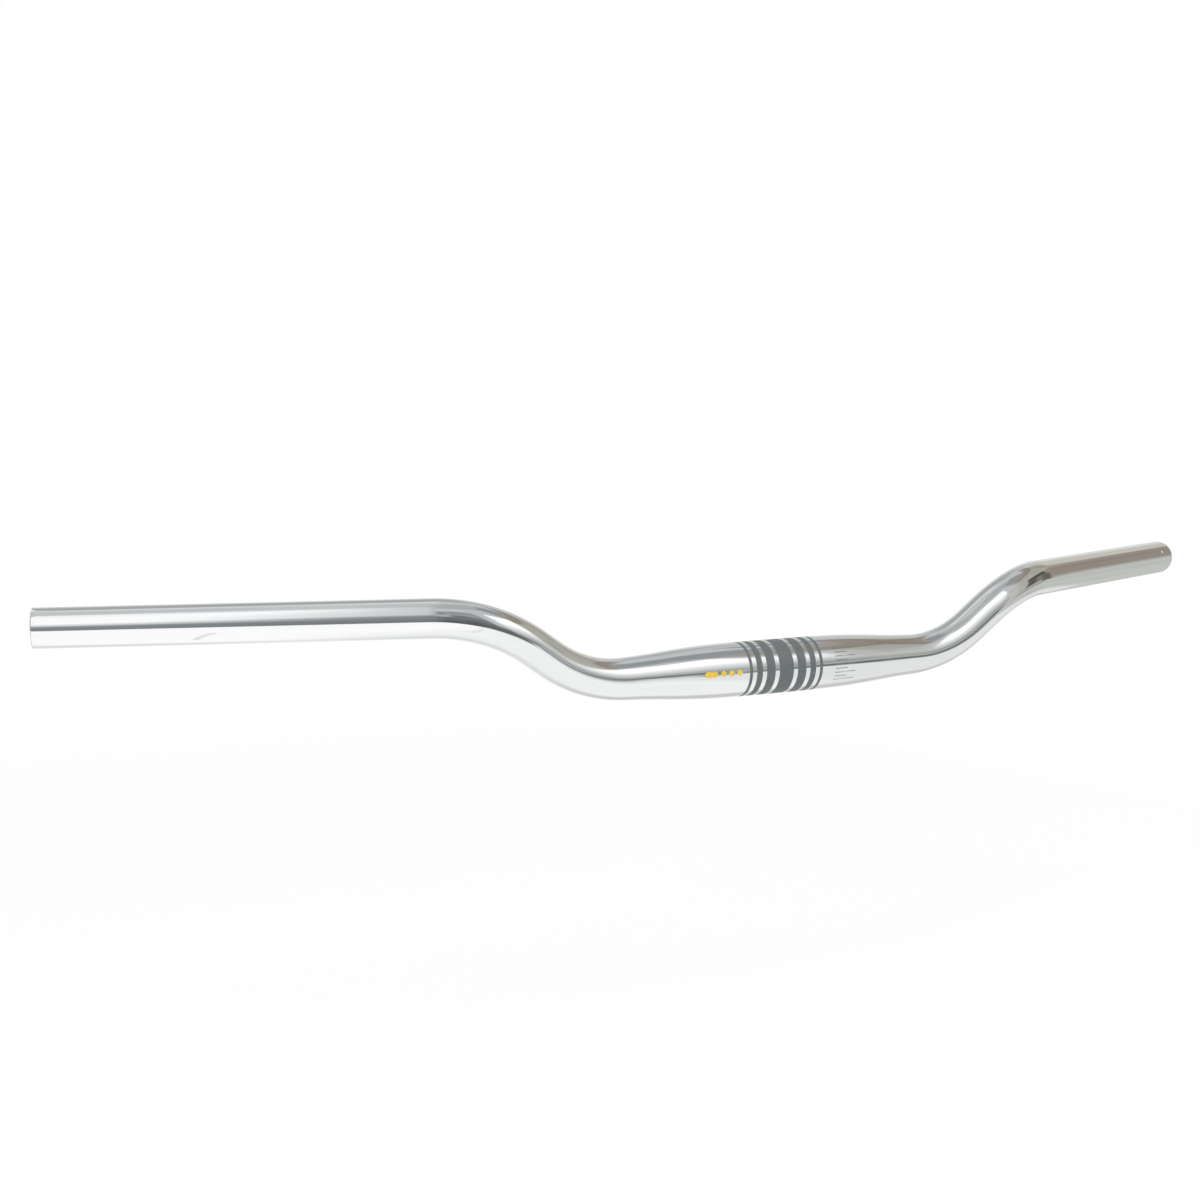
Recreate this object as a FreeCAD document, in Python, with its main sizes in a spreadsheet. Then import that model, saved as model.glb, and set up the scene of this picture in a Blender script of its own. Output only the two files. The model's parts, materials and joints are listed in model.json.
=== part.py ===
"""A riser handlebar: one aluminium tube, thick at the stem clamp, swaged thinner and bent four times.

The frame: the origin is the centre of the stem clamp, +X runs along the clamp to the rider's
left, +Z is up and +Y points back to the rider, the way the grips sweep. Sizes are in
millimetres and degrees. The tube is drawn as a bender makes it, from the clamp out to its left
end: straight middle, lower bend, riser, upper bend, grip. The right half is its mirror image.
"""
import FreeCAD, Part
import math
import os
import Sketcher
from enum import IntEnum

# Driving sizes: name, value and what it is
SIZES = [
    ("clamp_diameter", 31.8, "outside of the tube where the stem holds it"),
    ("clamp_length", 54.0, "parallel length for the stem, before the tube starts to thin"),
    ("clamp_wall", 2.6, "wall at the clamp"),
    ("centre_length", 204.0, "straight middle, from lower bend to lower bend"),
    ("entry_diameter", 24.3, "outside of the tube where a lower bend starts"),
    ("grip_diameter", 22.2, "outside of the tube from the end of a lower bend outwards"),
    ("grip_wall", 2.2, "wall of the bends and the grips"),
    ("bend_radius", 85.0, "centreline radius of all four bends"),
    ("lower_bend_angle", 34.5, "turn from the clamp's line up into the riser"),
    ("riser_length", 12.5, "straight between a lower and an upper bend"),
    ("backsweep_angle", 25.0, "angle of the grips to the clamp's line, seen from above"),
    ("grip_length", 213.5, "straight from an upper bend to the cut end"),
    ("end_round", 0.7, "rounding of the outer edge of a cut end"),
    ("end_chamfer", 0.5, "chamfer of the bore's edge at a cut end"),
]

# Angles, lengths and meeting points of the path, which follow from the sizes
PATH = [
    ("lower_bend_length", "Sizes.bend_radius * Sizes.lower_bend_angle * pi / 180"),
    ("upper_bend_angle", "acos(cos(Sizes.lower_bend_angle) * cos(Sizes.backsweep_angle)) / 1 deg"),
    ("upper_bend_dip", "atan(sin(Sizes.lower_bend_angle) / tan(Sizes.backsweep_angle)) / 1 deg"),
    ("upper_tangent", "Sizes.bend_radius * tan(Path.upper_bend_angle / 2)"),
    ("lower_bend_x", "Sizes.centre_length / 2"),
    ("riser_x", "Path.lower_bend_x + Sizes.bend_radius * sin(Sizes.lower_bend_angle)"),
    ("riser_z", "Sizes.bend_radius * (1 - cos(Sizes.lower_bend_angle))"),
    ("upper_bend_x", "Path.riser_x + Sizes.riser_length * cos(Sizes.lower_bend_angle)"),
    ("upper_bend_z", "Path.riser_z + Sizes.riser_length * sin(Sizes.lower_bend_angle)"),
    ("grip_x", "Path.upper_bend_x + Path.upper_tangent"
               " * (cos(Sizes.lower_bend_angle) + cos(Sizes.backsweep_angle))"),
    ("grip_y", "Path.upper_tangent * sin(Sizes.backsweep_angle)"),
    ("grip_z", "Path.upper_bend_z + Path.upper_tangent * sin(Sizes.lower_bend_angle)"),
]


class At(IntEnum):
    """How a sketch's constraints name the points of a line, an arc or a circle."""

    START = 1
    END = 2
    CENTRE = 3


class Axis(IntEnum):
    """How a sketch's constraints name its own axes."""

    LEVEL = -1
    UPRIGHT = -2


# How a sketch's constraints name its origin
ORIGIN = (Axis.LEVEL, At.START)

X_AXIS = FreeCAD.Vector(1, 0, 0)
Y_AXIS = FreeCAD.Vector(0, 1, 0)
Z_AXIS = FreeCAD.Vector(0, 0, 1)


def point(x, y):
    return FreeCAD.Vector(x, y, 0)


def make_sheet(doc):
    """The spreadsheet of driving sizes, with what each one is beside it."""
    sheet = doc.addObject("Spreadsheet::Sheet", "Sizes")
    for row, (alias, value, meaning) in enumerate(SIZES, start=1):
        sheet.set(f"A{row}", alias)
        sheet.set(f"B{row}", str(value))
        sheet.setAlias(f"B{row}", alias)
        sheet.set(f"C{row}", meaning)
    doc.recompute()
    return sheet


def make_path(doc):
    """The variable set of the path's angles and meeting points, each one an expression."""
    path = doc.addObject("App::VarSet", "Path")
    for name, expression in PATH:
        path.addProperty("App::PropertyFloat", name, "Path")
        path.setExpression(name, expression)
    doc.recompute()
    return path


def origin_plane(body, role):
    return next(feature for feature in body.Origin.OriginFeatures if feature.Role == role)


def new_sketch(body, name, role):
    """An empty sketch on one of the body's own origin planes."""
    sketch = body.newObject("Sketcher::SketchObject", name)
    sketch.AttachmentSupport = [(origin_plane(body, role), "")]
    sketch.MapMode = "FlatFace"
    return sketch


def dimension(sketch, name, expression, *constraint):
    """Add a named dimension to a sketch and bind it to an expression."""
    index = sketch.addConstraint(Sketcher.Constraint(*constraint))
    sketch.renameConstraint(index, name)
    sketch.setExpression(f"Constraints.{name}", expression)


def place_point(sketch, name, element, end, here, x, y):
    """Fix a point of a sketch at (x, y), given as expressions, from where it is drawn."""
    dimension(sketch, f"{name}_x", x, "DistanceX", *ORIGIN, element, end, here.x)
    dimension(sketch, f"{name}_y", y, "DistanceY", *ORIGIN, element, end, here.y)


def draw_ogee(sketch, name, clamp, entry, grip):
    """Draw one side of the straight middle's wall, from the centre out to a lower bend.

    A line along the clamp runs into two tangent arcs of one radius, bent opposite ways, which
    end at the lower bend with the slope that the thinning in the bend goes on from. clamp,
    entry and grip are that side's radii, as expressions. Returns the line and the last arc.
    """
    sizes = sketch.Document.Sizes
    flat_x = sizes.clamp_length / 2
    entry_x = sizes.centre_length / 2
    fade_x = entry_x + sketch.Document.Path.lower_bend_length / 2
    clamp_r, entry_r, grip_r = (sketch.evalExpression(radius) for radius in (clamp, entry, grip))

    # The arcs are drawn where the constraints put them, which meet at the steepest slope
    run, drop = entry_x - flat_x, clamp_r - entry_r
    slope = math.atan2(entry_r - grip_r, fade_x - entry_x)
    share = (run * (1 + math.cos(slope)) + drop * math.sin(slope)) / (2 * math.hypot(run, drop))
    steepest = math.atan2(drop, run) + math.acos(share)
    radius = run / (2 * math.sin(steepest) - math.sin(slope))
    first_centre = point(flat_x, clamp_r - radius)
    second_centre = first_centre + point(math.sin(steepest), math.cos(steepest)) * (2 * radius)
    top, bottom = math.pi / 2, 3 * math.pi / 2
    first_circle = Part.Circle(first_centre, Z_AXIS, radius)
    second_circle = Part.Circle(second_centre, Z_AXIS, radius)
    flat = sketch.addGeometry(Part.LineSegment(point(0, clamp_r), point(flat_x, clamp_r)), False)
    first = sketch.addGeometry(Part.ArcOfCircle(first_circle, top - steepest, top), False)
    second = sketch.addGeometry(Part.ArcOfCircle(second_circle, bottom - steepest, bottom - slope), False)
    fade = sketch.addGeometry(Part.LineSegment(point(entry_x, entry_r), point(fade_x, grip_r)), True)

    sketch.addConstraint(Sketcher.Constraint("Horizontal", flat))
    sketch.addConstraint(Sketcher.Constraint("Tangent", flat, At.END, first, At.END))
    sketch.addConstraint(Sketcher.Constraint("Tangent", first, At.START, second, At.START))
    sketch.addConstraint(Sketcher.Constraint("Tangent", second, At.END, fade, At.START))
    sketch.addConstraint(Sketcher.Constraint("Equal", first, second))
    sketch.addConstraint(Sketcher.Constraint("PointOnObject", flat, At.START, Axis.UPRIGHT))
    place_point(sketch, f"{name}_flat", flat, At.END, point(flat_x, clamp_r),
                "Sizes.clamp_length / 2", clamp)
    place_point(sketch, f"{name}_entry", fade, At.START, point(entry_x, entry_r),
                "Path.lower_bend_x", entry)
    place_point(sketch, f"{name}_fade", fade, At.END, point(fade_x, grip_r),
                "Path.lower_bend_x + Path.lower_bend_length / 2", grip)
    return flat, second


def make_middle(body):
    """Half of the straight middle: the wall's profile turned about the clamp's line."""
    sketch = new_sketch(body, "middle_profile", "XZ_Plane")
    outside = draw_ogee(sketch, "outside", "Sizes.clamp_diameter / 2", "Sizes.entry_diameter / 2",
                        "Sizes.grip_diameter / 2")
    bore = draw_ogee(sketch, "bore", "Sizes.clamp_diameter / 2 - Sizes.clamp_wall",
                     "Sizes.entry_diameter / 2 - Sizes.grip_wall",
                     "Sizes.grip_diameter / 2 - Sizes.grip_wall")
    for element, end in ((0, At.START), (1, At.END)):
        ends = [sketch.getPoint(side[element], end) for side in (outside, bore)]
        cut = sketch.addGeometry(Part.LineSegment(*ends), False)
        sketch.addConstraint(Sketcher.Constraint("Coincident", cut, At.START, outside[element], end))
        sketch.addConstraint(Sketcher.Constraint("Coincident", cut, At.END, bore[element], end))
    middle = body.newObject("PartDesign::Revolution", "middle")
    middle.Profile = sketch
    middle.ReferenceAxis = (sketch, ["H_Axis"])
    middle.Angle = 360
    return middle


def ring_sketch(body, name, place, turn_axis, turn, outside="Sizes.grip_diameter"):
    """The tube's cut face at a point of the path, as a sketch of two circles.

    The sketch starts on the YZ plane, where its own axes are Y, Z and X. place gives the
    point in that order, and turn the angle about turn_axis that sets it square to the path.
    """
    sketch = new_sketch(body, name, "YZ_Plane")
    sketch.AttachmentOffset = FreeCAD.Placement(FreeCAD.Vector(), FreeCAD.Rotation(turn_axis, 0))
    for axis, expression in zip("xyz", place):
        sketch.setExpression(f"AttachmentOffset.Base.{axis}", expression)
    sketch.setExpression("AttachmentOffset.Rotation.Angle", turn)
    for label, diameter in (("outside", outside), ("bore", f"{outside} - 2 * Sizes.grip_wall")):
        size = sketch.evalExpression(diameter)
        circle = sketch.addGeometry(Part.Circle(FreeCAD.Vector(), Z_AXIS, size / 2), False)
        sketch.addConstraint(Sketcher.Constraint("Coincident", circle, At.CENTRE, *ORIGIN))
        dimension(sketch, label, diameter, "Diameter", circle, size)
    return sketch


def make_lower_bend(body, steps=6):
    """The bend up into the riser, where the tube thins to its grip diameter and levels out."""
    sections = []
    for index in range(steps + 1):
        share = index / steps
        turn = f"{share} * Sizes.lower_bend_angle"
        place = ("0", f"Sizes.bend_radius * (1 - cos({turn}))",
                 f"Path.lower_bend_x + Sizes.bend_radius * sin({turn})")
        outside = (f"(Sizes.grip_diameter + (Sizes.entry_diameter - Sizes.grip_diameter)"
                   f" * {(1 - share) ** 2})")
        name = f"lower_bend_section_{index}"
        sections.append(ring_sketch(body, name, place, X_AXIS, f"-{turn}", outside))
    bend = body.newObject("PartDesign::AdditiveLoft", "lower_bend")
    bend.Profile = sections[0]
    bend.Sections = sections[1:]
    return bend


def make_riser(body):
    """The short straight between the two bends."""
    place = ("0", "Path.riser_z", "Path.riser_x")
    sketch = ring_sketch(body, "riser_section", place, X_AXIS, "-Sizes.lower_bend_angle")
    riser = body.newObject("PartDesign::Pad", "riser")
    riser.Profile = sketch
    riser.setExpression("Length", "Sizes.riser_length")
    return riser


def make_upper_bend(body):
    """The bend that lays the tube level and back: a ring turned about the bend's own axis."""
    path = body.Document.Path
    sketch = ring_sketch(body, "upper_bend_section", ("0", "Path.upper_bend_z", "Path.upper_bend_x"),
                         X_AXIS, "-Sizes.lower_bend_angle")
    radius = body.Document.Sizes.bend_radius
    dip = math.radians(path.upper_bend_dip)
    centre = point(math.cos(dip), -math.sin(dip)) * radius
    across = point(math.sin(dip), math.cos(dip)) * radius
    spoke = sketch.addGeometry(Part.LineSegment(FreeCAD.Vector(), centre), True)
    axle = sketch.addGeometry(Part.LineSegment(centre, centre + across), True)
    sketch.addConstraint(Sketcher.Constraint("Coincident", spoke, At.START, *ORIGIN))
    sketch.addConstraint(Sketcher.Constraint("Coincident", spoke, At.END, axle, At.START))
    sketch.addConstraint(Sketcher.Constraint("Perpendicular", spoke, axle))
    sketch.addConstraint(Sketcher.Constraint("Equal", spoke, axle))
    place_point(sketch, "centre", spoke, At.END, centre, "Sizes.bend_radius * cos(Path.upper_bend_dip)",
                "-Sizes.bend_radius * sin(Path.upper_bend_dip)")
    bend = body.newObject("PartDesign::Revolution", "upper_bend")
    bend.Profile = sketch
    bend.ReferenceAxis = (sketch, ["Axis1"])
    bend.setExpression("Angle", "Path.upper_bend_angle")
    return bend


def make_grip(body):
    """The straight that carries the grip and the levers."""
    place = ("Path.grip_y", "Path.grip_z", "Path.grip_x")
    sketch = ring_sketch(body, "grip_section", place, Y_AXIS, "Sizes.backsweep_angle")
    grip = body.newObject("PartDesign::Pad", "grip")
    grip.Profile = sketch
    grip.setExpression("Length", "Sizes.grip_length")
    return grip


def outermost_edge(feature, radius):
    """The name of the circle of this radius that lies furthest out along the tube."""
    circles = [(edge.CenterOfMass.x, f"Edge{number}")
               for number, edge in enumerate(feature.Shape.Edges, start=1)
               if isinstance(edge.Curve, Part.Circle) and math.isclose(edge.Curve.Radius, radius)]
    return max(circles)[1]


def dress_end(body, grip):
    """Round the cut end's outer edge and break the edge of its bore."""
    body.Document.recompute()
    sizes = body.Document.Sizes
    outside_radius = sizes.grip_diameter / 2
    rounded = body.newObject("PartDesign::Fillet", "rounded_end")
    rounded.Base = (grip, [outermost_edge(grip, outside_radius)])
    rounded.setExpression("Radius", "Sizes.end_round")
    body.Document.recompute()
    broken = body.newObject("PartDesign::Chamfer", "broken_bore_edge")
    broken.Base = (rounded, [outermost_edge(rounded, outside_radius - sizes.grip_wall)])
    broken.setExpression("Size", "Sizes.end_chamfer")
    body.Document.recompute()
    return broken


def make_right_half(body):
    """The right half, as the mirror image of all that is drawn so far."""
    mirrored = body.newObject("PartDesign::Mirrored", "right_half")
    mirrored.TransformMode = "Whole shape"
    mirrored.MirrorPlane = (origin_plane(body, "YZ_Plane"), [""])
    body.Tip = mirrored
    return mirrored


def make_handlebar(doc):
    body = doc.addObject("PartDesign::Body", "handlebar")
    body.Label = "handlebar"
    make_middle(body)
    make_lower_bend(body)
    make_riser(body)
    make_upper_bend(body)
    grip = make_grip(body)
    dress_end(body, grip)
    make_right_half(body)
    doc.recompute()
    return body


def check_document(doc):
    """Stop if any object failed to recompute."""
    for item in doc.Objects:
        faults = {"Invalid", "Error"}.intersection(item.State)
        if faults:
            raise RuntimeError(f"{item.Label} is {', '.join(faults)}")


def check_body(body):
    """Stop if the body isn't one valid solid."""
    if body.Shape.isNull() or not body.Shape.isValid():
        raise RuntimeError(f"{body.Label} has no valid shape")
    if len(body.Shape.Solids) != 1:
        raise RuntimeError(f"{body.Label} is {len(body.Shape.Solids)} solids, not one")


def main():
    doc = FreeCAD.newDocument("riser_handlebar")
    make_sheet(doc)
    make_path(doc)
    body = make_handlebar(doc)
    check_document(doc)
    check_body(body)
    os.makedirs("parts", exist_ok=True)
    body.Shape.exportStep(f"parts/{body.Label}.step")


main()
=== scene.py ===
"""Looks of a riser handlebar: a polished tube with printed bands and marks, in a pale studio.

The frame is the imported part's: metres, origin at the centre of the stem clamp, +X along the clamp
to the rider's left, +Y back to the rider, +Z up.
"""
import bpy
import json
import math
from collections import namedtuple
from functools import cache
from mathutils import Matrix, Quaternion, Vector


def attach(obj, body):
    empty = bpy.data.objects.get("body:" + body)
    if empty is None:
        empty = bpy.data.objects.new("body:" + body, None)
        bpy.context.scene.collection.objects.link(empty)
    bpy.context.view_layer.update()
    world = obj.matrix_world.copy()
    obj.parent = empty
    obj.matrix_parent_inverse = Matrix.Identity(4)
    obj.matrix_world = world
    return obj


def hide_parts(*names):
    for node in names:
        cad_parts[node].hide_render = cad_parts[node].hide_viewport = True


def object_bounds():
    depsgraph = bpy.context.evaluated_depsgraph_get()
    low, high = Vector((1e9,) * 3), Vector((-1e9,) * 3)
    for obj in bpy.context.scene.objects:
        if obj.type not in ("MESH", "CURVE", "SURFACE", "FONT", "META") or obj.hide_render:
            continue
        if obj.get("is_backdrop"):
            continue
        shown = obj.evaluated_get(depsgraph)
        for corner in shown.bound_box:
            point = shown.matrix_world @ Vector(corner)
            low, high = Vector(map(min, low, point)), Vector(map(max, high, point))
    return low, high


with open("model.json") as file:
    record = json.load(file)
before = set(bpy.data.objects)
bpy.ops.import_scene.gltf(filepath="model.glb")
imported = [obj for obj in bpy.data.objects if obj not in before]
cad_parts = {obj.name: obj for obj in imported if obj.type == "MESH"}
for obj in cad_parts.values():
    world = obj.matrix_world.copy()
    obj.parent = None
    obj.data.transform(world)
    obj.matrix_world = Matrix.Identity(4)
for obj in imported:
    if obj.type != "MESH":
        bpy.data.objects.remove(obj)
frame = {"record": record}
cad_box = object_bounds()

# Sizes that the part's mounts give
MOUNTS = {mount["name"]: mount for mount in frame["record"]["mounts"]}
CLAMP_RADIUS = MOUNTS["stem_clamp"]["dims"]["r_mm"] / 1000
CLAMP_LENGTH = MOUNTS["stem_clamp"]["dims"]["length_mm"] / 1000
GRIP_RADIUS = MOUNTS["left_grip"]["dims"]["r_mm"] / 1000
GRIP_LINE = Vector(MOUNTS["left_grip"]["axis"])
BORE_RADIUS = MOUNTS["left_end_bore"]["dims"]["r_mm"] / 1000

# The tube's other sizes
CLAMP_WALL = 0.0026
GRIP_WALL = GRIP_RADIUS - BORE_RADIUS
CENTRE_LENGTH = 0.204
ENTRY_RADIUS = 0.01215
BEND_RADIUS = 0.085
LOWER_BEND = math.radians(34.5)
LOWER_BEND_LENGTH = BEND_RADIUS * LOWER_BEND
RISER_LENGTH = 0.0125
GRIP_LENGTH = 0.2135
END_ROUND = 0.0007
END_CHAMFER = 0.0005

# How finely the tube and its prints are meshed; a pill's end is stepped in degrees
SEGMENTS = 96
OUTSIDE_STEP = 0.0022
BORE_STEP = 0.006
END_ROUND_STEPS = 6
SHARP_EDGE = math.radians(30)
BAND_COLUMNS = 5
PILL_ROWS = 7
PILL_END_STEP = 8

# How far a print stands proud of the metal, and how far it is let in
PRINT_PROUD = 0.00004
PRINT_SUNK = 0.00003

# The camera: its direction from the bar, the place of the clamp's centre in the picture, and its lens
PICTURE_SIZE = 1200
CLAMP_PIXEL = (771.39, 666.22)
FOCAL_PIXELS = 2312.84
SENSOR = 36.0
CAMERA_AZIMUTH = math.radians(-30.6587)
CAMERA_ELEVATION = math.radians(4.8330)
CAMERA_ROLL = math.radians(-0.8867)
CAMERA_DEPTH = 1.36512

# The middle of a noise's range, where most of its values lie
NOISE_LOW = 0.3
NOISE_HIGH = 0.7

# The floor: how far it lies under the bar, and how far it reaches to the front, to +X and elsewhere
FLOOR_DEPTH = 0.2
FLOOR_FRONT = 0.82
FLOOR_SIDE = 0.68
FLOOR_REACH = 12.0

# The shadow on the floor: how far from the bar it starts to fade and is gone, and how much of it
# white covers before that
SHADOW_NEAR = 0.5
SHADOW_FAR = 1.5
SHADOW_VEIL = 0.86

# The cards: how finely they are meshed, the sharpest edge of one in degrees, its streaks across and
# up it, how uneven the floor's are, and the shares of a seam's length and width that fade
CARD_COLUMNS = 36
CARD_ROWS = 18
SHARPEST_FADE = 0.01
STREAKS = (3, 22, 1)
FLOOR_UNEVEN = 0.03
SEAM_FEATHER = (0.2, 0.3)

X_AXIS = Vector((1, 0, 0))
Y_AXIS = Vector((0, 1, 0))

Stretch = namedtuple("Stretch", "start length place turn axis")
Ring = namedtuple("Ring", "along centre turn radius")


def pose_on(stretch, distance):
    """The place and the turn of a stretch of the path at a distance from its start."""
    line = stretch.turn @ X_AXIS
    if stretch.axis is None:
        return stretch.place + line * distance, stretch.turn
    swing = Quaternion(stretch.axis, distance / BEND_RADIUS)
    spoke = stretch.axis.cross(line) * BEND_RADIUS
    return stretch.place + spoke - swing @ spoke, swing @ stretch.turn


@cache
def lay_path():
    """The path of the left half: straight middle, lower bend, riser, upper bend and grip."""
    riser_line = Quaternion(-Y_AXIS, LOWER_BEND) @ X_AXIS
    upper_bend = riser_line.angle(GRIP_LINE)
    upper_axis = riser_line.cross(GRIP_LINE).normalized()
    plan = [
        (CENTRE_LENGTH / 2, None),
        (LOWER_BEND_LENGTH, -Y_AXIS),
        (RISER_LENGTH, None),
        (BEND_RADIUS * upper_bend, upper_axis),
        (GRIP_LENGTH, None),
    ]
    path = []
    start, place, turn = 0.0, Vector(), Quaternion()
    for length, axis in plan:
        stretch = Stretch(start, length, place, turn, axis)
        path.append(stretch)
        start += length
        place, turn = pose_on(stretch, length)
    return path


def ogee(along, clamp, entry, grip):
    """A radius of the straight middle: a flat, then two tangent arcs of one radius.

    The arcs lead from the clamp's radius to the entry radius, and end with the slope that the
    thinning towards the grip's radius goes on from in the lower bend.
    """
    run = (CENTRE_LENGTH - CLAMP_LENGTH) / 2
    drop = clamp - entry
    slope = math.atan2(entry - grip, LOWER_BEND_LENGTH / 2)
    share = (run * (1 + math.cos(slope)) + drop * math.sin(slope)) / (2 * math.hypot(run, drop))
    steepest = math.atan2(drop, run) + math.acos(share)
    arc = run / (2 * math.sin(steepest) - math.sin(slope))
    into = along - CLAMP_LENGTH / 2
    if into <= 0:
        return clamp
    if into <= arc * math.sin(steepest):
        return clamp - arc + math.sqrt(arc ** 2 - into ** 2)
    back = 2 * arc * math.sin(steepest) - into
    return clamp - arc + 2 * arc * math.cos(steepest) - math.sqrt(arc ** 2 - back ** 2)


def outside_at(along):
    """The tube's outside radius at a distance along its path."""
    if along <= CENTRE_LENGTH / 2:
        return ogee(along, CLAMP_RADIUS, ENTRY_RADIUS, GRIP_RADIUS)
    left = max(0.0, 1 - (along - CENTRE_LENGTH / 2) / LOWER_BEND_LENGTH)
    return GRIP_RADIUS + (ENTRY_RADIUS - GRIP_RADIUS) * left ** 2


def bore_at(along):
    """The bore's radius at a distance along the path."""
    if along <= CENTRE_LENGTH / 2:
        return ogee(along, CLAMP_RADIUS - CLAMP_WALL, ENTRY_RADIUS - GRIP_WALL, BORE_RADIUS)
    return outside_at(along) - GRIP_WALL


def wall_rings(path, radius_at, step, end_gap):
    """Rings of one side of the wall, from the clamp's centre to a little before the cut end."""
    rings = []
    for stretch in path:
        last = stretch is path[-1]
        length = stretch.length - end_gap if last else stretch.length
        count = math.ceil(length / step)
        for index in range(count + 1 if last else count):
            distance = length * index / count
            along = stretch.start + distance
            rings.append(Ring(along, *pose_on(stretch, distance), radius_at(along)))
    return rings


def end_rings(path):
    """Rings over the cut end: its rounded outer edge, its face and the chamfer of its bore."""
    grip = path[-1]
    profile = []
    for index in range(1, END_ROUND_STEPS + 1):
        angle = math.pi / 2 * index / END_ROUND_STEPS
        back = END_ROUND * (1 - math.sin(angle))
        profile.append((back, GRIP_RADIUS - END_ROUND * (1 - math.cos(angle))))
    profile.append((0.0, BORE_RADIUS + END_CHAMFER))
    rings = []
    for back, radius in profile:
        distance = grip.length - back
        rings.append(Ring(grip.start + distance, *pose_on(grip, distance), radius))
    return rings


def around(count):
    """The angles of a ring's corners, as their cosines and sines."""
    angles = [2 * math.pi * index / count for index in range(count)]
    return [(math.cos(angle), math.sin(angle)) for angle in angles]


def ring_points(ring, side):
    """A ring's corners, on the left half or mirrored to the right one, and where they are
    on the tube as it was before it was bent."""
    points, straight = [], []
    for across, up in around(SEGMENTS):
        point = ring.centre + ring.turn @ Vector((0, across, up)) * ring.radius
        points.append((side * point.x, point.y, point.z))
        straight.append((ring.radius * across, ring.radius * up, side * ring.along))
    return points, straight


def make_piece(name, points, straight, faces, materials, face_materials=None):
    """A smooth mesh object that rides on the part, with its unbent coordinates kept for its looks."""
    mesh = bpy.data.meshes.new(name)
    mesh.from_pydata(points, [], faces)
    kept = mesh.attributes.new("straight", "FLOAT_VECTOR", "POINT")
    kept.data.foreach_set("vector", [value for place in straight for value in place])
    for material in materials:
        mesh.materials.append(material)
    if face_materials:
        mesh.polygons.foreach_set("material_index", face_materials)
    mesh.polygons.foreach_set("use_smooth", [True] * len(mesh.polygons))
    mesh.set_sharp_from_angle(angle=SHARP_EDGE)
    mesh.validate()
    piece = bpy.data.objects.new(name, mesh)
    bpy.context.scene.collection.objects.link(piece)
    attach(piece, "root")
    return piece


def make_tube(*materials):
    """The whole tube as one closed skin, with materials for its outside, cut ends and bore."""
    path = lay_path()
    outside = wall_rings(path, outside_at, OUTSIDE_STEP, END_ROUND)
    ends = end_rings(path)
    bore = wall_rings(path, bore_at, BORE_STEP, END_CHAMFER)
    half = outside + ends + bore[::-1]
    # A ring's kind is the number of its material
    kinds = [0] * len(outside) + [1] * len(ends) + [2] * len(bore)
    loop = [(ring, 1, kind) for ring, kind in zip(half, kinds)]
    # The right half runs back through the same rings, without the first and last, which both share
    loop += [(ring, -1, kind) for ring, kind in zip(half[-2:0:-1], kinds[-2:0:-1])]

    points, straight, faces, face_materials = [], [], [], []
    for index, (ring, side, kind) in enumerate(loop):
        ring_places, ring_straight = ring_points(ring, side)
        points += ring_places
        straight += ring_straight
        first = index * SEGMENTS
        following = (index + 1) % len(loop)
        second = following * SEGMENTS
        for corner in range(SEGMENTS):
            beside = (corner + 1) % SEGMENTS
            faces.append((first + corner, first + beside, second + beside, second + corner))
        face_materials += [min(kind, loop[following][2])] * SEGMENTS
    return make_piece("tube", points, straight, faces, materials, face_materials)


def colour(red, green, blue):
    """A colour given as a screen shows it, from 0 to 255, as linear light."""
    linear = []
    for value in (red, green, blue):
        share = value / 255
        linear.append(share / 12.92 if share <= 0.04045 else ((share + 0.055) / 1.055) ** 2.4)
    return (*linear, 1.0)


def new_node(tree, kind, **settings):
    """A new node of a tree, with its settings."""
    node = tree.nodes.new(kind)
    for name, value in settings.items():
        setattr(node, name, value)
    return node


def new_material(name):
    """A new material, its tree and its main shader."""
    material = bpy.data.materials.new(name)
    material.use_nodes = True
    return material, material.node_tree, material.node_tree.nodes["Principled BSDF"]


def tube_noise(tree, across, along, detail=2.0):
    """Noise on the unbent tube, with so many features to the metre across and along it."""
    place = new_node(tree, "ShaderNodeAttribute", attribute_name="straight")
    spread = new_node(tree, "ShaderNodeMapping")
    spread.inputs["Scale"].default_value = (across, across, along)
    noise = new_node(tree, "ShaderNodeTexNoise")
    noise.inputs["Scale"].default_value = 1.0
    noise.inputs["Detail"].default_value = detail
    tree.links.new(place.outputs["Vector"], spread.inputs["Vector"])
    tree.links.new(spread.outputs["Vector"], noise.inputs["Vector"])
    return noise.outputs["Fac"]


def spread_to(tree, value, low, high):
    """The middle of a noise's range spread over the values from low to high."""
    scale = new_node(tree, "ShaderNodeMapRange")
    scale.inputs["From Min"].default_value = NOISE_LOW
    scale.inputs["From Max"].default_value = NOISE_HIGH
    scale.inputs["To Min"].default_value = low
    scale.inputs["To Max"].default_value = high
    tree.links.new(value, scale.inputs["Value"])
    return scale.outputs["Result"]


def mixed_colour(tree, share, first, second):
    """A colour that goes from the first to the second with a share."""
    mix = new_node(tree, "ShaderNodeMix", data_type="RGBA")
    mix.inputs["A"].default_value = first
    mix.inputs["B"].default_value = second
    tree.links.new(share, mix.inputs["Factor"])
    return mix.outputs["Result"]


def bump(tree, height, depth, under=None):
    """A bump of the given depth in metres, on top of another one if there is one."""
    node = new_node(tree, "ShaderNodeBump")
    node.inputs["Strength"].default_value = 1.0
    node.inputs["Distance"].default_value = depth
    tree.links.new(height, node.inputs["Height"])
    if under:
        tree.links.new(under, node.inputs["Normal"])
    return node.outputs["Normal"]


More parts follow.
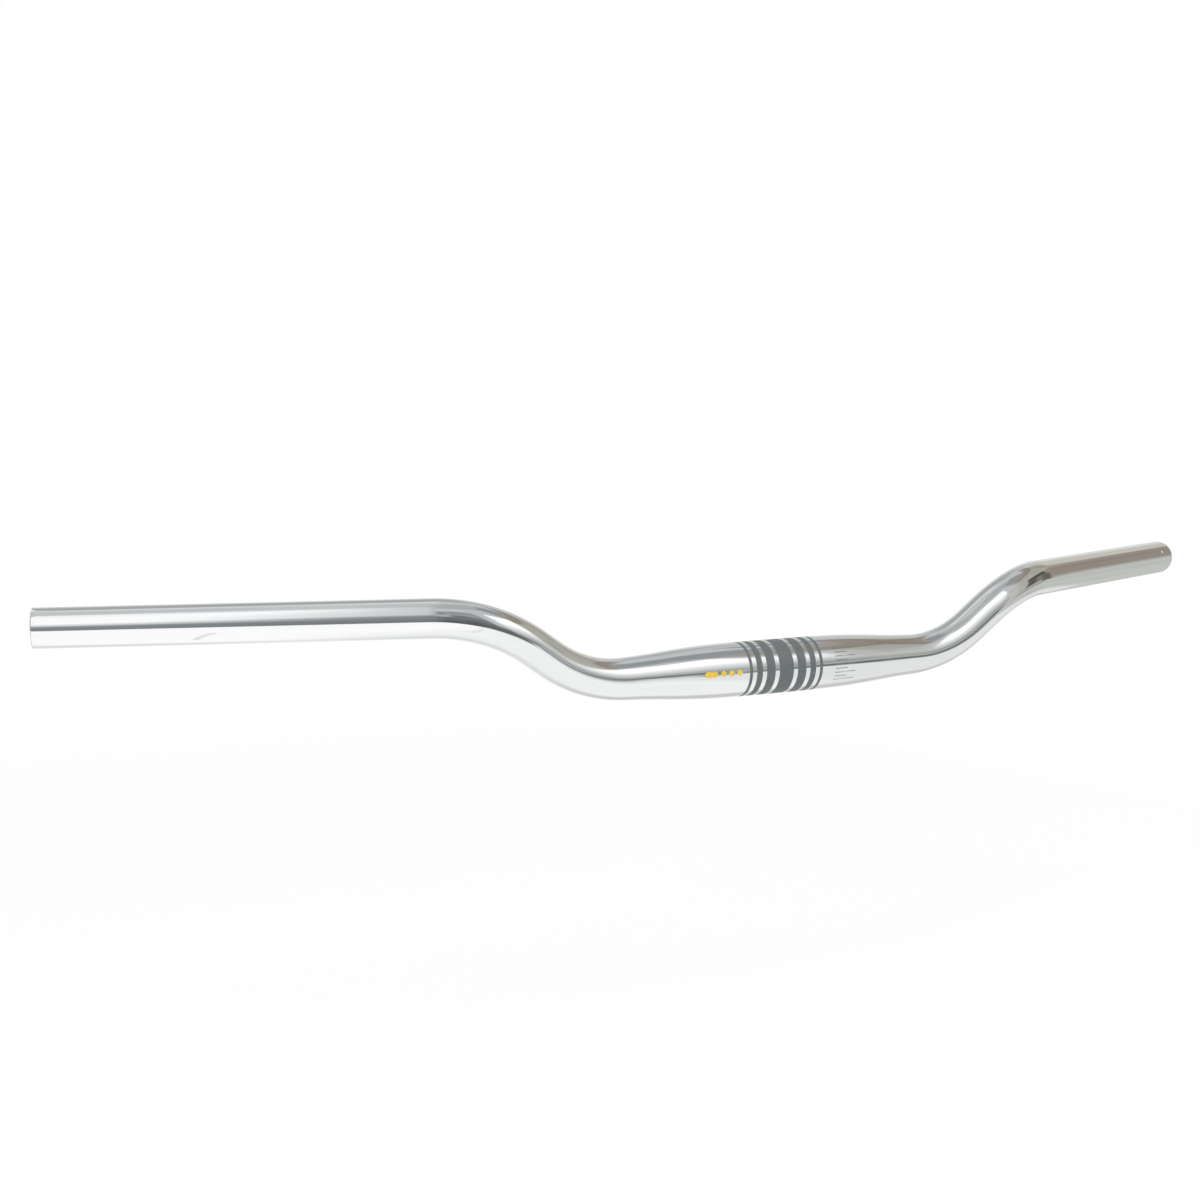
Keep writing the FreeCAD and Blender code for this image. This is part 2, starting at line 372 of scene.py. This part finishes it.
def polished_metal():
    """Buffed aluminium: faint drawing lines along the tube, buffing haze and a slight waviness."""
    material, tree, shader = new_material("polished_aluminium")
    shader.inputs["Metallic"].default_value = 1.0
    haze = tube_noise(tree, across=60, along=14, detail=4)
    tint = mixed_colour(tree, haze, (0.88, 0.885, 0.895, 1), (0.93, 0.932, 0.935, 1))
    tree.links.new(tint, shader.inputs["Base Color"])
    tree.links.new(spread_to(tree, haze, 0.05, 0.10), shader.inputs["Roughness"])
    waves = bump(tree, tube_noise(tree, across=30, along=14, detail=1), depth=0.00003)
    lines = bump(tree, tube_noise(tree, across=1800, along=30), depth=0.0000006, under=waves)
    tree.links.new(lines, shader.inputs["Normal"])
    return material


def cut_metal():
    """Turned aluminium of the cut ends: duller, with fine lines."""
    material, tree, shader = new_material("cut_aluminium")
    shader.inputs["Metallic"].default_value = 1.0
    patches = tube_noise(tree, across=180, along=90, detail=4)
    tint = mixed_colour(tree, patches, (0.60, 0.61, 0.62, 1), (0.76, 0.77, 0.78, 1))
    tree.links.new(tint, shader.inputs["Base Color"])
    tree.links.new(spread_to(tree, patches, 0.28, 0.45), shader.inputs["Roughness"])
    lines = bump(tree, tube_noise(tree, across=120, along=3000), depth=0.00001)
    tree.links.new(lines, shader.inputs["Normal"])
    return material


def drawn_metal():
    """Drawn aluminium of the bore: grey and matt, with die lines along the tube."""
    material, tree, shader = new_material("drawn_aluminium")
    shader.inputs["Metallic"].default_value = 0.6
    stains = tube_noise(tree, across=140, along=30, detail=4)
    tint = mixed_colour(tree, stains, (0.62, 0.63, 0.64, 1), (0.80, 0.81, 0.82, 1))
    tree.links.new(tint, shader.inputs["Base Color"])
    tree.links.new(spread_to(tree, stains, 0.5, 0.7), shader.inputs["Roughness"])
    lines = bump(tree, tube_noise(tree, across=1600, along=20), depth=0.00001)
    tree.links.new(lines, shader.inputs["Normal"])
    return material


def ink(name, dark, light, rough):
    """Screen-printed ink: slightly uneven colour over the metal, with a fine grain."""
    material, tree, shader = new_material(name)
    uneven = 0.06
    cover = tube_noise(tree, across=900, along=900, detail=4)
    tree.links.new(mixed_colour(tree, cover, dark, light), shader.inputs["Base Color"])
    tree.links.new(spread_to(tree, cover, rough - uneven, rough + uneven), shader.inputs["Roughness"])
    grain = bump(tree, tube_noise(tree, across=4000, along=4000), depth=0.000004)
    tree.links.new(grain, shader.inputs["Normal"])
    return material


def etched_metal():
    """Lines etched into the metal: matt and frosted."""
    material, tree, shader = new_material("etched_aluminium")
    shader.inputs["Metallic"].default_value = 1.0
    frost = tube_noise(tree, across=3000, along=3000, detail=3)
    tint = mixed_colour(tree, frost, (0.32, 0.33, 0.34, 1), (0.46, 0.47, 0.48, 1))
    tree.links.new(tint, shader.inputs["Base Color"])
    tree.links.new(spread_to(tree, frost, 0.42, 0.58), shader.inputs["Roughness"])
    tree.links.new(bump(tree, frost, depth=0.00001), shader.inputs["Normal"])
    return material


def on_tube(along, angle, lift):
    """A point at a lift over the tube's outside and an angle above its front, and its unbent place.

    along is the distance along the path from the clamp's centre, negative on the right half.
    """
    distance = abs(along)
    stretch = [part for part in lay_path() if part.start <= distance][-1]
    centre, turn = pose_on(stretch, distance - stretch.start)
    radius = outside_at(distance) + lift
    across, up = -radius * math.cos(angle), radius * math.sin(angle)
    point = centre + turn @ Vector((0, across, up))
    return (math.copysign(point.x, along), point.y, point.z), (across, up, along)


def shell(columns, closed):
    """A thin closed shell on the tube, from columns of (distance along, angles), let in and proud.

    closed says whether each column runs all the way round the tube.
    """
    rows = len(columns[0][1])
    points, straight, faces = [], [], []
    for along, angles in columns:
        for lift in (-PRINT_SUNK, PRINT_PROUD):
            for angle in angles:
                point, place = on_tube(along, angle, lift)
                points.append(point)
                straight.append(place)

    def corner(column, lifted, row):
        return (column * 2 + lifted) * rows + row % rows

    steps = rows if closed else rows - 1
    for column in range(len(columns) - 1):
        for row in range(steps):
            for lifted in (0, 1):
                quad = [corner(column, lifted, row), corner(column, lifted, row + 1),
                        corner(column + 1, lifted, row + 1), corner(column + 1, lifted, row)]
                faces.append(quad[::-1] if lifted else quad)
        if not closed:
            for row in (0, rows - 1):
                quad = [corner(column, 0, row), corner(column, 1, row),
                        corner(column + 1, 1, row), corner(column + 1, 0, row)]
                faces.append(quad[::-1] if row == 0 else quad)
    for column in (0, len(columns) - 1):
        for row in range(steps):
            quad = [corner(column, 0, row), corner(column, 0, row + 1),
                    corner(column, 1, row + 1), corner(column, 1, row)]
            faces.append(quad[::-1] if column == 0 else quad)
    return points, straight, faces


def joined(shells):
    """Several shells as one list of points, unbent places and faces."""
    points, straight, faces = [], [], []
    for shell_points, shell_straight, shell_faces in shells:
        first = len(points)
        points += shell_points
        straight += shell_straight
        faces += [[first + corner for corner in face] for face in shell_faces]
    return points, straight, faces


def between(low, high, count):
    """Evenly spaced values from low to high."""
    return [low + (high - low) * index / (count - 1) for index in range(count)]


def band(low, high):
    """A ring printed right round the tube, from one distance along it to another."""
    angles = [2 * math.pi * index / SEGMENTS for index in range(SEGMENTS)]
    return shell([(along, angles) for along in between(low, high, BAND_COLUMNS)], closed=True)


def pill(low, high, middle, height):
    """A bar with round ends, between two distances along the tube, at an angle above its front."""
    radius = outside_at(abs(low + high) / 2)
    end_angles = [math.radians(turn) for turn in range(PILL_END_STEP, 91, PILL_END_STEP)]
    ends = [(height / 2 * (1 - math.cos(turn)), height / 2 * math.sin(turn)) for turn in end_angles]
    outline = [(low + into, half) for into, half in ends]
    outline += [(high - into, half) for into, half in reversed(ends)]
    columns = []
    for along, half in outline:
        columns.append((along, between(middle - half / radius, middle + half / radius, PILL_ROWS)))
    return shell(columns, closed=False)


def make_bands(material):
    """Bands of falling width on both sides of a broad middle one, round the clamp."""
    gap = 0.003
    widths = [0.006, 0.004, 0.002]
    edge = 0.005
    shells = [band(-edge, edge)]
    for width in widths:
        low, high = edge + gap, edge + gap + width
        shells += [band(low, high), band(-high, -low)]
        edge = high
    return make_piece("printed_bands", *joined(shells), [material])


def make_mark(material):
    """A small mark on the front beside the bands: a pill and a row of dots."""
    height = 0.0034
    gap = 0.0022
    start = -0.0565
    length = 0.0085
    dots = 3
    edge = start + length
    shells = [pill(start, edge, 0.0, height)]
    for _ in range(dots):
        shells.append(pill(edge + gap, edge + gap + height, 0.0, height))
        edge += gap + height
    return make_piece("printed_mark", *joined(shells), [material])


def make_scale(material):
    """Lines that show how far the bar is rolled in its stem, on the other side of the bands."""
    start = 0.0355
    step = math.radians(9)
    steps_each_way = 4
    thickness = 0.0005
    long_line, short_line = 0.015, 0.009
    lines = []
    for index in range(-steps_each_way, steps_each_way + 1):
        length = long_line if index % 2 == 0 else short_line
        lines.append(pill(start, start + length, index * step, thickness))
    return make_piece("etched_scale", *joined(lines), [material])


def make_spot(material):
    """The small light spot on the front of the left grip, near its end."""
    size = 0.0024
    from_end = 0.017
    angle = math.radians(18.2)
    grip = lay_path()[-1]
    low = grip.start + grip.length - from_end - size / 2
    return make_piece("end_spot", *pill(low, low + size, angle, size), [material])


def direction(azimuth, elevation):
    """A unit vector at an azimuth, counted from the front to the rider's left, and an elevation."""
    level = math.cos(elevation)
    return Vector((math.sin(azimuth) * level, -math.cos(azimuth) * level, math.sin(elevation)))


def make_camera():
    """The camera at the photograph's place, from its direction and the bar's place in the picture."""
    back = direction(CAMERA_AZIMUTH, CAMERA_ELEVATION)
    level = Vector((0, 0, 1)).cross(back).normalized()
    turn = Quaternion(back, CAMERA_ROLL)
    right = turn @ level
    up = turn @ back.cross(level)
    scale = CAMERA_DEPTH / FOCAL_PIXELS
    aside = (CLAMP_PIXEL[0] - PICTURE_SIZE / 2) * scale
    above = (PICTURE_SIZE / 2 - CLAMP_PIXEL[1]) * scale
    data = bpy.data.cameras.new("camera")
    data.sensor_fit = "HORIZONTAL"
    data.sensor_width = SENSOR
    data.lens = SENSOR * FOCAL_PIXELS / PICTURE_SIZE
    camera = bpy.data.objects.new("camera", data)
    turned = Matrix((right, up, back)).transposed().to_4x4()
    camera.matrix_world = Matrix.Translation(back * CAMERA_DEPTH - right * aside - up * above) @ turned
    bpy.context.scene.collection.objects.link(camera)
    bpy.context.scene.camera = camera


def seen_directly(tree):
    """1 for what the camera sees, also by way of metal or glass, and 0 for scattered light."""
    path = new_node(tree, "ShaderNodeLightPath")
    total = path.outputs["Is Camera Ray"]
    for name in ("Is Glossy Ray", "Is Transmission Ray"):
        add = new_node(tree, "ShaderNodeMath", operation="ADD", use_clamp=True)
        tree.links.new(total, add.inputs[0])
        tree.links.new(path.outputs[name], add.inputs[1])
        total = add.outputs["Value"]
    return total


def make_world():
    """White to look at, and a softer light on surfaces that scatter it."""
    world = bpy.data.worlds.new("studio")
    world.use_nodes = True
    tree = world.node_tree
    soft_grey, white = (0.55, 0.55, 0.55, 1), (1, 1, 1, 1)
    shade = mixed_colour(tree, seen_directly(tree), soft_grey, white)
    tree.links.new(shade, tree.nodes["Background"].inputs["Color"])
    bpy.context.scene.world = world


def stage_mesh(name, points, faces, material):
    """A mesh of the studio, which isn't part of the object."""
    mesh = bpy.data.meshes.new(name)
    mesh.from_pydata(points, [], faces)
    mesh.materials.append(material)
    thing = bpy.data.objects.new(name, mesh)
    bpy.context.scene.collection.objects.link(thing)
    thing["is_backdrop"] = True
    return thing


def floor_material():
    """Pale paper that keeps a soft shadow near the bar, and that can be seen through from below."""
    material, tree, paper = new_material("pale_floor")
    paper.inputs["Base Color"].default_value = (0.97, 0.97, 0.97, 1)
    paper.inputs["Roughness"].default_value = 0.9
    paper.inputs["Specular IOR Level"].default_value = 0.0
    glow = new_node(tree, "ShaderNodeEmission")
    place = new_node(tree, "ShaderNodeTexCoord")
    away = new_node(tree, "ShaderNodeVectorMath", operation="LENGTH")
    tree.links.new(place.outputs["Object"], away.inputs[0])
    fade = new_node(tree, "ShaderNodeMapRange")
    fade.inputs["From Min"].default_value = SHADOW_NEAR
    fade.inputs["From Max"].default_value = SHADOW_FAR
    fade.inputs["To Min"].default_value = SHADOW_VEIL
    fade.inputs["To Max"].default_value = 1.0
    tree.links.new(away.outputs["Value"], fade.inputs["Value"])
    share = new_node(tree, "ShaderNodeMath", operation="MULTIPLY")
    tree.links.new(seen_directly(tree), share.inputs[0])
    tree.links.new(fade.outputs["Result"], share.inputs[1])
    pale = new_node(tree, "ShaderNodeMixShader")
    tree.links.new(share.outputs["Value"], pale.inputs["Fac"])
    tree.links.new(paper.outputs["BSDF"], pale.inputs[1])
    tree.links.new(glow.outputs["Emission"], pale.inputs[2])
    clear = new_node(tree, "ShaderNodeBsdfTransparent")
    side = new_node(tree, "ShaderNodeNewGeometry")
    one_sided = new_node(tree, "ShaderNodeMixShader")
    tree.links.new(side.outputs["Backfacing"], one_sided.inputs["Fac"])
    tree.links.new(pale.outputs["Shader"], one_sided.inputs[1])
    tree.links.new(clear.outputs["BSDF"], one_sided.inputs[2])
    tree.links.new(one_sided.outputs["Shader"], tree.nodes["Material Output"].inputs["Surface"])
    return material


def make_floor():
    """A wide floor under the bar, with an edge in front of it and one to its right in the picture."""
    low, high = (-FLOOR_REACH, -FLOOR_FRONT), (FLOOR_SIDE, FLOOR_REACH)
    corners = [(low[0], low[1]), (high[0], low[1]), (high[0], high[1]), (low[0], high[1])]
    stage_mesh("floor", [(x, y, -FLOOR_DEPTH) for x, y in corners], [(0, 1, 2, 3)], floor_material())


def soft_edges(tree, axes, feather):
    """1 inside a card and 0 at its edges, which fade over the given shares of its width and height."""
    covers = []
    for axis, soft in zip("XY", feather):
        mirrored = new_node(tree, "ShaderNodeMath", operation="SUBTRACT")
        mirrored.inputs[0].default_value = 1.0
        tree.links.new(axes.outputs[axis], mirrored.inputs[1])
        nearest = new_node(tree, "ShaderNodeMath", operation="MINIMUM")
        tree.links.new(axes.outputs[axis], nearest.inputs[0])
        tree.links.new(mirrored.outputs["Value"], nearest.inputs[1])
        fade = new_node(tree, "ShaderNodeMapRange", interpolation_type="SMOOTHSTEP")
        fade.inputs["From Max"].default_value = soft
        tree.links.new(nearest.outputs["Value"], fade.inputs["Value"])
        covers.append(fade.outputs["Result"])
    both = new_node(tree, "ShaderNodeMath", operation="MULTIPLY")
    tree.links.new(covers[0], both.inputs[0])
    tree.links.new(covers[1], both.inputs[1])
    return both.outputs["Value"]


def card_material(name, low, high, feather, uneven):
    """A glowing card, shaded from its foot to its head, with soft edges and level streaks."""
    material, tree, shader = new_material(name)
    tree.nodes.remove(shader)
    place = new_node(tree, "ShaderNodeUVMap", uv_map="card")
    axes = new_node(tree, "ShaderNodeSeparateXYZ")
    tree.links.new(place.outputs["UV"], axes.inputs["Vector"])
    glow = new_node(tree, "ShaderNodeEmission")
    tree.links.new(mixed_colour(tree, axes.outputs["Y"], low, high), glow.inputs["Color"])
    streaks = new_node(tree, "ShaderNodeMapping")
    streaks.inputs["Scale"].default_value = STREAKS
    noise = new_node(tree, "ShaderNodeTexNoise")
    noise.inputs["Scale"].default_value = 1.0
    tree.links.new(place.outputs["UV"], streaks.inputs["Vector"])
    tree.links.new(streaks.outputs["Vector"], noise.inputs["Vector"])
    strength = spread_to(tree, noise.outputs["Fac"], 1 - uneven, 1 + uneven)
    tree.links.new(strength, glow.inputs["Strength"])
    clear = new_node(tree, "ShaderNodeBsdfTransparent")
    edge = new_node(tree, "ShaderNodeMixShader")
    tree.links.new(soft_edges(tree, axes, feather), edge.inputs["Fac"])
    tree.links.new(clear.outputs["BSDF"], edge.inputs[1])
    tree.links.new(glow.outputs["Emission"], edge.inputs[2])
    tree.links.new(edge.outputs["Shader"], tree.nodes["Material Output"].inputs["Surface"])
    return material


def make_card(name, place_at, low, high, feather, uneven):
    """A card that only polished metal shows, like a studio's boxes and flags.

    place_at gives its points from shares of its width and height, low and high are the colours
    of its foot and head as a screen shows them, feather the shares that its edges fade over, and
    uneven the share that its streaks are lighter or darker by.
    """
    points, faces, places = [], [], []
    for column in range(CARD_COLUMNS + 1):
        for row in range(CARD_ROWS + 1):
            places.append((column / CARD_COLUMNS, row / CARD_ROWS))
            points.append(place_at(*places[-1]))
    for column in range(CARD_COLUMNS):
        for row in range(CARD_ROWS):
            first = column * (CARD_ROWS + 1) + row
            beside = first + CARD_ROWS + 1
            faces.append((first, beside, beside + 1, first + 1))
    material = card_material(name, colour(*low), colour(*high), feather, uneven)
    card = stage_mesh(name, points, faces, material)
    layer = card.data.uv_layers.new(name="card")
    for loop in card.data.loops:
        layer.data[loop.index].uv = places[loop.vertex_index]
    card.visible_camera = False
    card.visible_diffuse = False
    card.visible_transmission = False
    card.visible_volume_scatter = False
    card.visible_shadow = False


def wall_card(name, distance, azimuth, elevation, low, high=None, soft=(3, 3), uneven=0.1):
    """A card at a distance from the bar, between azimuths and elevations in degrees.

    low and high are the colours of its foot and head, and soft the degrees that its edges fade over.
    """

    def place_at(across, up):
        turn = azimuth[0] + (azimuth[1] - azimuth[0]) * across
        rise = elevation[0] + (elevation[1] - elevation[0]) * up
        return direction(math.radians(turn), math.radians(rise)) * distance

    spans = (azimuth[1] - azimuth[0], elevation[1] - elevation[0])
    feather = [max(edge, SHARPEST_FADE) / span for edge, span in zip(soft, spans)]
    make_card(name, place_at, low, high or low, feather, uneven)


def floor_card(name, height, x_range, y_range, shade, soft):
    """A card at a height above the floor, between two x and two y, with edges that fade over metres."""

    def place_at(across, up):
        x = x_range[0] + (x_range[1] - x_range[0]) * across
        y = y_range[0] + (y_range[1] - y_range[0]) * up
        return (x, y, height - FLOOR_DEPTH)

    spans = (x_range[1] - x_range[0], y_range[1] - y_range[0])
    feather = [edge / span for edge, span in zip(soft, spans)]
    make_card(name, place_at, shade, shade, feather, FLOOR_UNEVEN)


def floor_seam(name, height, start, end, width, shade):
    """A narrow mark at a height above the floor, from one place to another."""
    line = Vector(end) - Vector(start)
    across = line.orthogonal().normalized() * width

    def place_at(along, aside):
        x, y = Vector(start) + line * along + across * aside
        return (x, y, height - FLOOR_DEPTH)

    make_card(name, place_at, shade, shade, SEAM_FEATHER, FLOOR_UNEVEN)


def make_room():
    """The room that the metal mirrors, far from the bar: grey, with a brown and a grey strip of wall."""
    wall_card("room", 12, (-180, 180), (-50, 90), (200, 203, 203), (196, 200, 201), soft=(0, 0))
    wall_card("room_right", 11.6, (34, 140), (-50, 37), (200, 202, 197), (188, 190, 185), soft=(14, 6))
    wall_card("room_back", 11.4, (126, 250), (32, 65), (170, 172, 171), soft=(20, 5))
    wall_card("room_low", 11.3, (118, 172), (-8, 30), (223, 225, 222), soft=(14, 14))
    wall_card("room_top", 11.2, (-26, 110), (60, 88), (176, 180, 179), soft=(16, 6))
    wall_card("right_wall", 11, (49, 124), (-3, 45), (182, 183, 176), (170, 170, 160), soft=(10, 4))
    wall_card("brown_wall", 10.8, (44, 134), (41, 54), (138, 129, 118), (162, 152, 143), soft=(18, 3))
    wall_card("grey_wall", 10.6, (44, 108), (50, 69), (150, 154, 156), soft=(14, 4))
    wall_card("back_top", 10.4, (136, 204), (62, 78), (222, 224, 223), soft=(16, 6))
    wall_card("back_wall", 10.2, (166, 300), (-4, 34), (118, 122, 124), (170, 173, 174), soft=(10, 6))


def make_surroundings():
    """The light boxes, flags and pale or warm cards that stand round the bar."""
    wall_card("left_box", 10, (-70, -21), (8, 84), (262, 262, 262), soft=(15, 21))
    wall_card("far_box", 9.9, (224, 266), (14, 62), (200, 202, 204), (285, 285, 285), soft=(6, 6))
    wall_card("back_flag", 9.8, (168, 296), (-4, 8), (74, 78, 80), (100, 104, 106), soft=(8, 4))
    wall_card("end_card", 9.7, (103, 128), (0, 15), (84, 84, 82), soft=(4, 3))
    wall_card("front_flag", 9.6, (-70, 34), (-24, 17), (122, 127, 130), (142, 147, 149), soft=(6, 12))
    wall_card("side_flag", 9.5, (28, 55), (-24, 0), (142, 145, 144), soft=(8, 4))
    wall_card("low_flag", 9.4, (56, 88), (-10, -1), (160, 159, 151), soft=(8, 3))
    wall_card("side_wall", 9.3, (32, 52), (-3, 13), (170, 172, 167), soft=(5, 5))
    wall_card("side_line", 9.2, (33, 51), (-10, -2.5), (104, 106, 104), soft=(5, 2.5))
    wall_card("warm_side", 9.1, (108, 137), (13, 36), (203, 200, 192), soft=(8, 6))
    wall_card("warm_link", 9.05, (96, 118), (23, 43), (164, 155, 145), soft=(6, 5))
    wall_card("warm_card", 9, (88, 114), (0, 26), (148, 142, 134), (153, 140, 130),
              soft=(4, 6), uneven=0.15)


def make_front():
    """The dark wall in front of the bar, uneven and with paler patches."""
    wall_card("left_flag", 8.6, (-34, -14), (-24, 32), (108, 113, 116), (146, 151, 153), soft=(9, 14))
    wall_card("wall_top", 8.4, (-24, 8), (44, 64), (198, 202, 202), soft=(6, 6))
    wall_card("front_wall", 8.2, (-24.5, 10), (-24, 48), (66, 69, 69), (146, 151, 153),
              soft=(5, 5), uneven=0.3)
    wall_card("wall_band", 8.1, (-19, 7), (25, 39), (158, 161, 161), soft=(4, 4), uneven=0.15)
    wall_card("wall_patch", 8, (-24, -13), (15, 29), (186, 190, 190), soft=(4, 5), uneven=0.15)
    wall_card("wall_foot", 7.9, (5, 21), (-12, 8), (98, 101, 100), soft=(4, 6))
    wall_card("front_line", 7.8, (17, 31), (-3, 8), (114, 116, 115), soft=(4, 3))
    wall_card("low_box", 7.7, (19.5, 28.5), (-13, -2.5), (218, 220, 219), soft=(4, 3))


def make_right():
    """A dark stand with a gap in it, to the right of the picture."""
    wall_card("right_flag", 7.6, (63.5, 91), (14, 26), (84, 82, 76), soft=(3, 3), uneven=0.25)
    wall_card("flag_gap", 7.5, (70, 84), (0, 18), (128, 124, 117), soft=(3, 3), uneven=0.15)
    wall_card("flag_foot", 7.4, (63.5, 76), (-1, 17), (96, 92, 90), soft=(3, 3), uneven=0.25)
    wall_card("flag_back", 7.3, (80, 92), (-5, 17), (104, 101, 93), soft=(2, 3), uneven=0.25)


def make_near_boxes():
    """Light boxes close to the bar, behind it and in front of it."""
    wall_card("back_box", 2.5, (186, 216), (24, 60), (280, 280, 280), soft=(5, 5))
    wall_card("front_glow", 1.25, (6, 48), (1, 33), (140, 142, 141), (262, 262, 262), soft=(6, 3))
    wall_card("front_box", 1.2, (9, 47), (30, 53.5), (272, 272, 272), soft=(3, 2.5))


def make_floor_cards():
    """The floor as the metal mirrors it: a little uneven, with painted light at the left, painted shadow
    behind the bar and two seams.
    """
    floor_card("floor_all", 0.003, (-2.5, 0.76), (-0.82, 1.5), (242, 243, 243), (0.1, 0.03))
    # Painted light: a sheet brighter than white paper under the bar's left half, which only the metal
    # mirrors
    floor_card("lit_floor_left", 0.004, (-1.1, -0.12), (-0.82, 0.2), (261, 261, 261), (0.2, 0.03))
    # Painted shadow: a darker sheet behind the left grip, where the bar's shadow lies on the floor,
    # which only the metal mirrors
    floor_card("shadow_behind_grip", 0.005, (-0.55, -0.15), (0.18, 0.45), (228, 228, 228), (0.12, 0.08))
    floor_card("floor_middle", 0.006, (-0.3, 0.3), (-0.82, 0.15), (249, 250, 249), (0.2, 0.15))
    floor_card("floor_step", 0.007, (-0.32, 0.42), (-1.03, -0.75), (240, 242, 241), (0.12, 0.1))
    floor_card("floor_right", 0.008, (0.1, 0.76), (-0.9, 0.6), (233, 235, 234), (0.1, 0.1))
    # Painted shadow: a darker sheet just behind the bar, where its shadow lies on the floor, which only
    # the metal mirrors
    floor_card("shadow_behind_bar", 0.009, (-0.3, 0.76), (0.02, 0.26), (206, 206, 205), (0.3, 0.06))
    floor_card("floor_foot", 0.01, (-0.58, -0.3), (-0.9, -0.72), (110, 114, 116), (0.06, 0.05))
    floor_seam("long_seam", 0.011, (-0.264, -0.68), (-0.234, -0.06), 0.006, (206, 202, 194))
    floor_seam("short_seam", 0.012, (-0.444, -0.159), (-0.33, 0.105), 0.005, (220, 219, 216))


def make_lamp(name, azimuth, elevation, distance, size, power):
    """A soft lamp at an azimuth and an elevation in degrees, which the metal doesn't mirror."""
    data = bpy.data.lights.new(name, "AREA")
    data.size = size
    data.energy = power
    lamp = bpy.data.objects.new(name, data)
    away = direction(math.radians(azimuth), math.radians(elevation))
    lamp.location = away * distance
    lamp.rotation_mode = "QUATERNION"
    lamp.rotation_quaternion = away.to_track_quat("Z", "Y")
    lamp.visible_glossy = False
    bpy.context.scene.collection.objects.link(lamp)


tube = make_tube(polished_metal(), cut_metal(), drawn_metal())
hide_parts("handlebar")
make_bands(ink("grey_ink", colour(86, 93, 94), colour(105, 112, 113), rough=0.45))
make_mark(ink("yellow_ink", colour(220, 184, 38), colour(232, 200, 60), rough=0.4))
make_spot(ink("pale_ink", colour(206, 196, 190), colour(222, 213, 207), rough=0.4))
make_scale(etched_metal())

make_camera()
make_world()
make_floor()
make_room()
make_surroundings()
make_front()
make_right()
make_near_boxes()
make_floor_cards()
make_lamp("key_lamp", azimuth=20, elevation=55, distance=2.0, size=1.4, power=24)
make_lamp("fill_lamp", azimuth=-70, elevation=40, distance=2.2, size=1.4, power=12)
bpy.context.scene.view_settings.view_transform = "Standard"

boxes = {"cad": cad_box, "visual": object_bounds()}
{name: [list(corner) for corner in box] for name, box in boxes.items()}
